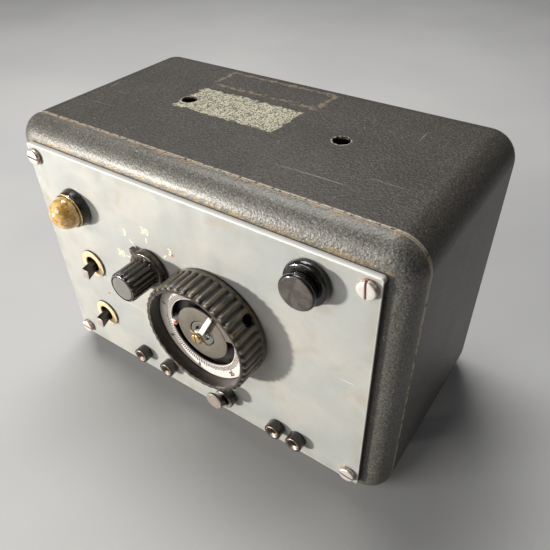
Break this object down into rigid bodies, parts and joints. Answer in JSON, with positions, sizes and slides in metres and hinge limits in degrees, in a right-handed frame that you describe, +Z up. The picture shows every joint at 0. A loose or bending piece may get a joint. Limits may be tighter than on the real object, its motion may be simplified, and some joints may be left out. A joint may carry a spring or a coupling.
{
  "type": "function generator",
  "caption": "Bench pulse and interval timer in a rounded steel case, with a large setting dial, range knob, toggle switches, pilot lamp, fuse and plug sockets.",
  "frame": {"origin": "centre of the bounding box's footprint, on the surface that the feet stand on", "axes": "+Z up, +X to the right as seen from the front, the front panel faces -Y"},
  "size_m": [0.246, 0.161, 0.1727],
  "materials": {
    "hammertone": "worn dark grey hammertone stove enamel",
    "hammertone_bezel": "worn silver-grey hammertone stove enamel",
    "panel_paint": "satin light grey enamel, stained",
    "bakelite": "black bakelite, dusty in the flutes",
    "nickel": "dull nickel plate, rust in the slots",
    "steel": "plain machined steel",
    "brass": "dull aged brass",
    "amber_glass": "honey amber pressed glass",
    "clear_glass": "clear glass",
    "scale_white": "off-white engraved scale",
    "disc_grey": "taupe grey satin paint",
    "hand_white": "white paint",
    "washer_beige": "aged cream-coloured nut ring",
    "rubber": "black rubber",
    "aluminium": "plain sheet and castings",
    "laminate": "brown paper laminate",
    "winding_tape": "varnished winding tape"
  },
  "bodies": {
    "root": {"rear_case": "hammertone", "front_bezel": "hammertone_bezel", "front_panel": "panel_paint", "panel_screw_top_left": "nickel", "panel_screw_top_right": "nickel", "panel_screw_bottom_left": "nickel", "panel_screw_bottom_right": "nickel", "foot_front_left": "rubber", "foot_front_right": "rubber", "foot_rear_left": "rubber", "foot_rear_right": "rubber", "lamp_collar": "bakelite", "lamp_ring": "brass", "lamp_bulb": "clear_glass", "lamp_holder": "brass", "fuse_body": "bakelite", "timer_motor": "aluminium", "range_switch": "laminate", "toggle_washer_upper": "washer_beige", "toggle_body_upper": "bakelite", "toggle_washer_lower": "washer_beige", "toggle_body_lower": "bakelite", "release_collar": "bakelite", "release_switch": "bakelite", "socket_sleeve_left_outer": "bakelite", "socket_contact_left_outer": "brass", "socket_sleeve_left_inner": "bakelite", "socket_contact_left_inner": "brass", "socket_sleeve_right_inner": "bakelite", "socket_contact_right_inner": "brass", "socket_sleeve_right_outer": "bakelite", "socket_contact_right_outer": "brass", "rear_screw_left": "nickel", "rear_screw_right": "nickel", "cable_gland": "rubber", "chassis": "aluminium", "transformer_core": "steel", "transformer_coil": "winding_tape", "relay_frame": "nickel", "relay_coil": "winding_tape", "capacitor": "aluminium", "terminal_strip": "laminate"},
    "time_dial": {"dial_ring": "bakelite", "dial_set_screw": "steel", "dial_scale": "scale_white", "dial_disc": "disc_grey", "dial_washer": "steel", "dial_shaft": "steel"},
    "setting_marker": {"setting_marker": "hand_white"},
    "pointer": {"dial_pointer": "hand_white", "hub_screw": "brass"},
    "range_knob": {"range_knob": "bakelite", "range_shaft": "steel"},
    "toggle_upper": {"toggle_lever_upper": "bakelite"},
    "toggle_lower": {"toggle_lever_lower": "bakelite"},
    "release_lever": {"release_lever": "bakelite"},
    "fuse_cap": {"fuse_cap": "bakelite", "fuse_cartridge": "clear_glass"},
    "lamp_lens": {"lamp_lens": "amber_glass"}
  },
  "joints": [
    {"name": "dial_turn", "type": "hinge", "parent": "root", "child": "time_dial", "pos_m": [0.0194, -0.0685, 0.0907], "axis": [0, 1, 0], "range_deg": [-150, 150]},
    {"name": "marker_set", "type": "hinge", "parent": "time_dial", "child": "setting_marker", "pos_m": [0.0194, -0.0685, 0.0907], "axis": [0, 1, 0], "range_deg": [-178, 114]},
    {"name": "pointer_run", "type": "hinge", "parent": "root", "child": "pointer", "pos_m": [0.0194, -0.0685, 0.0907], "axis": [0, 1, 0], "continuous": true},
    {"name": "range_select", "type": "hinge", "parent": "root", "child": "range_knob", "pos_m": [-0.0242, -0.0685, 0.1082], "axis": [0, 1, 0], "range_deg": [-90, 90]},
    {"name": "toggle_upper_flip", "type": "hinge", "parent": "root", "child": "toggle_upper", "pos_m": [-0.0772, -0.0565, 0.0884], "axis": [-1, 0, 0], "range_deg": [0, 40]},
    {"name": "toggle_lower_flip", "type": "hinge", "parent": "root", "child": "toggle_lower", "pos_m": [-0.0773, -0.0565, 0.0477], "axis": [-1, 0, 0], "range_deg": [0, 40]},
    {"name": "release_press", "type": "hinge", "parent": "root", "child": "release_lever", "pos_m": [0.0226, -0.0647, 0.0319], "axis": [1, 0, 0], "range_deg": [0, 18], "stiffness_Nm_per_rad": 0.05, "springref_deg": -11.46},
    {"name": "fuse_pull", "type": "slide", "parent": "root", "child": "fuse_cap", "axis": [0, -1, 0], "range_m": [0, 0.052]},
    {"name": "lens_pull", "type": "slide", "parent": "root", "child": "lamp_lens", "axis": [0, -1, 0], "range_m": [0, 0.03]}
  ]
}
